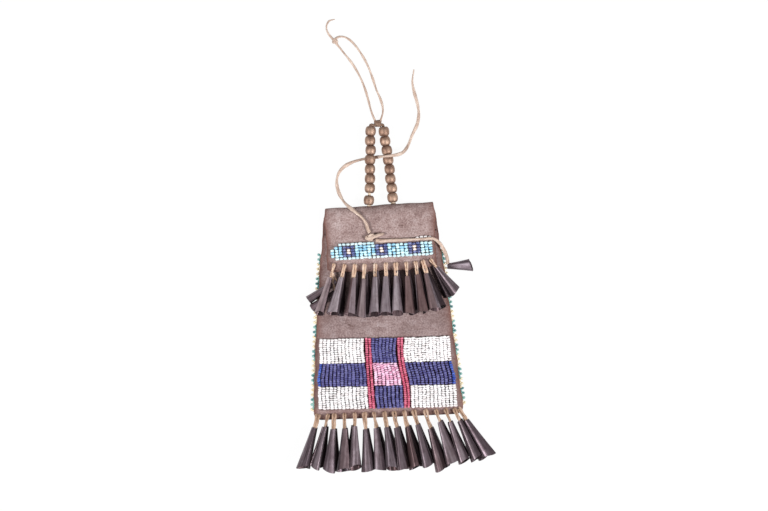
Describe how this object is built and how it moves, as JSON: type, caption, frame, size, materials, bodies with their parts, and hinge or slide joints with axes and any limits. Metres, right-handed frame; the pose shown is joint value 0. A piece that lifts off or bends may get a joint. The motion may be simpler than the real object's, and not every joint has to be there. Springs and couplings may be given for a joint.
{
  "type": "strike-a-light bag",
  "caption": "Small flat hide pouch with a folding flap, lane-stitched glass beadwork, fringes of rolled tin cones on thongs, a brass-beaded strap and free tie thongs.",
  "frame": {"origin": "middle of the pouch's back face, on the surface that it lies on", "axes": "+Z out of the front, +Y from the hem towards the strap, +X to the right seen from the front"},
  "size_m": [0.1175, 0.274, 0.0223],
  "materials": {
    "hide": "worn suede-like smoked hide, darker at the edges",
    "thong_hide": "pale tan hide thong",
    "tin": "dark oxidised rolled tinplate",
    "brass": "dull patinated brass",
    "white_glass": "opaque white glass seed beads",
    "navy_glass": "opaque navy glass seed beads",
    "red_glass": "raspberry red glass seed beads",
    "pink_glass": "pale pink glass seed beads",
    "turquoise_glass": "opaque turquoise glass seed beads",
    "edging_glass": "teal and pale yellow glass seed beads in turns"
  },
  "bodies": {
    "pouch": {"pouch": "hide", "white_beads_lower_left": "white_glass", "navy_beads_lower_centre": "navy_glass", "white_beads_lower_right": "white_glass", "navy_beads_middle_left": "navy_glass", "pink_beads_middle_centre": "pink_glass", "navy_beads_middle_right": "navy_glass", "white_beads_upper_left": "white_glass", "navy_beads_upper_centre": "navy_glass", "white_beads_upper_right": "white_glass", "red_bead_stripe_left": "red_glass", "red_bead_stripe_right": "red_glass", "edge_beads_left": "edging_glass", "edge_beads_right": "edging_glass", "strap_thong": "thong_hide", "brass_bead_left_lowest": "brass", "brass_beads_left": "brass", "brass_beads_right": "brass", "tie_thong_outer": "thong_hide", "tie_thong_inner": "thong_hide", "tie_knot": "thong_hide", "closing_thong_free": "thong_hide"},
    "flap": {"flap": "hide", "flap_bead_strip": "turquoise_glass", "flap_bead_square_left": "navy_glass", "flap_bead_square_middle": "navy_glass", "flap_bead_square_right": "navy_glass", "closing_knot": "thong_hide", "closing_thong_run": "thong_hide", "closing_cone": "tin"},
    "hem_tinkler_01": {"hem_tinkler_01": "tin"},
    "hem_tinkler_02": {"hem_tinkler_02": "tin"},
    "hem_tinkler_03": {"hem_tinkler_03": "tin"},
    "hem_tinkler_04": {"hem_tinkler_04": "tin"},
    "hem_tinkler_05": {"hem_tinkler_05": "tin"},
    "hem_tinkler_06": {"hem_tinkler_06": "tin"},
    "hem_tinkler_07": {"hem_tinkler_07": "tin"},
    "hem_tinkler_08": {"hem_tinkler_08": "tin"},
    "hem_tinkler_09": {"hem_tinkler_09": "tin"},
    "hem_tinkler_10": {"hem_tinkler_10": "tin"},
    "hem_tinkler_11": {"hem_tinkler_11": "tin"},
    "hem_tinkler_12": {"hem_tinkler_12": "tin"},
    "hem_tinkler_13": {"hem_tinkler_13": "tin"},
    "hem_tinkler_14": {"hem_tinkler_14": "tin"},
    "hem_tinkler_15": {"hem_tinkler_15": "tin"},
    "hem_tinkler_16": {"hem_tinkler_16": "tin"},
    "flap_tinkler_01": {"flap_tinkler_01": "tin"},
    "flap_tinkler_02": {"flap_tinkler_02": "tin"},
    "flap_tinkler_03": {"flap_tinkler_03": "tin"},
    "flap_tinkler_04": {"flap_tinkler_04": "tin"},
    "flap_tinkler_05": {"flap_tinkler_05": "tin"},
    "flap_tinkler_06": {"flap_tinkler_06": "tin"},
    "flap_tinkler_07": {"flap_tinkler_07": "tin"},
    "flap_tinkler_08": {"flap_tinkler_08": "tin"},
    "flap_tinkler_09": {"flap_tinkler_09": "tin"},
    "flap_tinkler_10": {"flap_tinkler_10": "tin"},
    "flap_tinkler_11": {"flap_tinkler_11": "tin"}
  },
  "joints": [
    {"name": "flap_hinge", "type": "hinge", "parent": "pouch", "child": "flap", "pos_m": [0, 0.057, 0.0105], "axis": [-1, 0, 0], "range_deg": [0, 120], "deforming": ["closing_thong_free"]},
    {"name": "hem_tinkler_01_swing", "type": "hinge", "parent": "pouch", "child": "hem_tinkler_01", "pos_m": [-0.0425, -0.061, 0.00501], "axis": [-1, 0, 0], "range_deg": [0, 110]},
    {"name": "hem_tinkler_02_swing", "type": "hinge", "parent": "pouch", "child": "hem_tinkler_02", "pos_m": [-0.03655, -0.061, 0.00539], "axis": [-1, 0, 0], "range_deg": [0, 110]},
    {"name": "hem_tinkler_03_swing", "type": "hinge", "parent": "pouch", "child": "hem_tinkler_03", "pos_m": [-0.03273, -0.061, 0.00557], "axis": [-1, 0, 0], "range_deg": [0, 110]},
    {"name": "hem_tinkler_04_swing", "type": "hinge", "parent": "pouch", "child": "hem_tinkler_04", "pos_m": [-0.02635, -0.061, 0.0058], "axis": [-1, 0, 0], "range_deg": [0, 110]},
    {"name": "hem_tinkler_05_swing", "type": "hinge", "parent": "pouch", "child": "hem_tinkler_05", "pos_m": [-0.0204, -0.061, 0.00593], "axis": [-1, 0, 0], "range_deg": [0, 110]},
    {"name": "hem_tinkler_06_swing", "type": "hinge", "parent": "pouch", "child": "hem_tinkler_06", "pos_m": [-0.01445, -0.061, 0.006], "axis": [-1, 0, 0], "range_deg": [0, 110]},
    {"name": "hem_tinkler_07_swing", "type": "hinge", "parent": "pouch", "child": "hem_tinkler_07", "pos_m": [-0.0085, -0.061, 0.00603], "axis": [-1, 0, 0], "range_deg": [0, 110]},
    {"name": "hem_tinkler_08_swing", "type": "hinge", "parent": "pouch", "child": "hem_tinkler_08", "pos_m": [-0.00255, -0.061, 0.00604], "axis": [-1, 0, 0], "range_deg": [0, 110]},
    {"name": "hem_tinkler_09_swing", "type": "hinge", "parent": "pouch", "child": "hem_tinkler_09", "pos_m": [0.0034, -0.061, 0.00604], "axis": [-1, 0, 0], "range_deg": [0, 110]},
    {"name": "hem_tinkler_10_swing", "type": "hinge", "parent": "pouch", "child": "hem_tinkler_10", "pos_m": [0.00935, -0.061, 0.00603], "axis": [-1, 0, 0], "range_deg": [0, 110]},
    {"name": "hem_tinkler_11_swing", "type": "hinge", "parent": "pouch", "child": "hem_tinkler_11", "pos_m": [0.0153, -0.061, 0.00599], "axis": [-1, 0, 0], "range_deg": [0, 110]},
    {"name": "hem_tinkler_12_swing", "type": "hinge", "parent": "pouch", "child": "hem_tinkler_12", "pos_m": [0.0221, -0.061, 0.0059], "axis": [-1, 0, 0], "range_deg": [0, 110]},
    {"name": "hem_tinkler_13_swing", "type": "hinge", "parent": "pouch", "child": "hem_tinkler_13", "pos_m": [0.02848, -0.061, 0.00573], "axis": [-1, 0, 0], "range_deg": [0, 110]},
    {"name": "hem_tinkler_14_swing", "type": "hinge", "parent": "pouch", "child": "hem_tinkler_14", "pos_m": [0.03443, -0.061, 0.00549], "axis": [-1, 0, 0], "range_deg": [0, 110]},
    {"name": "hem_tinkler_15_swing", "type": "hinge", "parent": "pouch", "child": "hem_tinkler_15", "pos_m": [0.03995, -0.061, 0.00519], "axis": [-1, 0, 0], "range_deg": [0, 110]},
    {"name": "hem_tinkler_16_swing", "type": "hinge", "parent": "pouch", "child": "hem_tinkler_16", "pos_m": [0.0425, -0.061, 0.00501], "axis": [-1, 0, 0], "range_deg": [0, 110]},
    {"name": "flap_tinkler_01_swing", "type": "hinge", "parent": "flap", "child": "flap_tinkler_01", "pos_m": [-0.02861, 0.02919, 0.0092], "axis": [-1, 0, 0], "range_deg": [0, 80]},
    {"name": "flap_tinkler_02_swing", "type": "hinge", "parent": "flap", "child": "flap_tinkler_02", "pos_m": [-0.02235, 0.02851, 0.01054], "axis": [-1, 0, 0], "range_deg": [0, 80]},
    {"name": "flap_tinkler_03_swing", "type": "hinge", "parent": "flap", "child": "flap_tinkler_03", "pos_m": [-0.01609, 0.02821, 0.0113], "axis": [-1, 0, 0], "range_deg": [0, 80]},
    {"name": "flap_tinkler_04_swing", "type": "hinge", "parent": "flap", "child": "flap_tinkler_04", "pos_m": [-0.01013, 0.02812, 0.01164], "axis": [-1, 0, 0], "range_deg": [0, 80]},
    {"name": "flap_tinkler_05_swing", "type": "hinge", "parent": "flap", "child": "flap_tinkler_05", "pos_m": [-0.00387, 0.0281, 0.01174], "axis": [-1, 0, 0], "range_deg": [0, 80]},
    {"name": "flap_tinkler_06_swing", "type": "hinge", "parent": "flap", "child": "flap_tinkler_06", "pos_m": [0.00238, 0.0281, 0.01175], "axis": [-1, 0, 0], "range_deg": [0, 80]},
    {"name": "flap_tinkler_07_swing", "type": "hinge", "parent": "flap", "child": "flap_tinkler_07", "pos_m": [0.00834, 0.02811, 0.01169], "axis": [-1, 0, 0], "range_deg": [0, 80]},
    {"name": "flap_tinkler_08_swing", "type": "hinge", "parent": "flap", "child": "flap_tinkler_08", "pos_m": [0.0146, 0.02817, 0.01141], "axis": [-1, 0, 0], "range_deg": [0, 80]},
    {"name": "flap_tinkler_09_swing", "type": "hinge", "parent": "flap", "child": "flap_tinkler_09", "pos_m": [0.02026, 0.02838, 0.01085], "axis": [-1, 0, 0], "range_deg": [0, 80]},
    {"name": "flap_tinkler_10_swing", "type": "hinge", "parent": "flap", "child": "flap_tinkler_10", "pos_m": [0.02473, 0.02871, 0.01011], "axis": [-1, 0, 0], "range_deg": [0, 80]},
    {"name": "flap_tinkler_11_swing", "type": "hinge", "parent": "flap", "child": "flap_tinkler_11", "pos_m": [0.0295, 0.02934, 0.00895], "axis": [-1, 0, 0], "range_deg": [0, 80]}
  ]
}
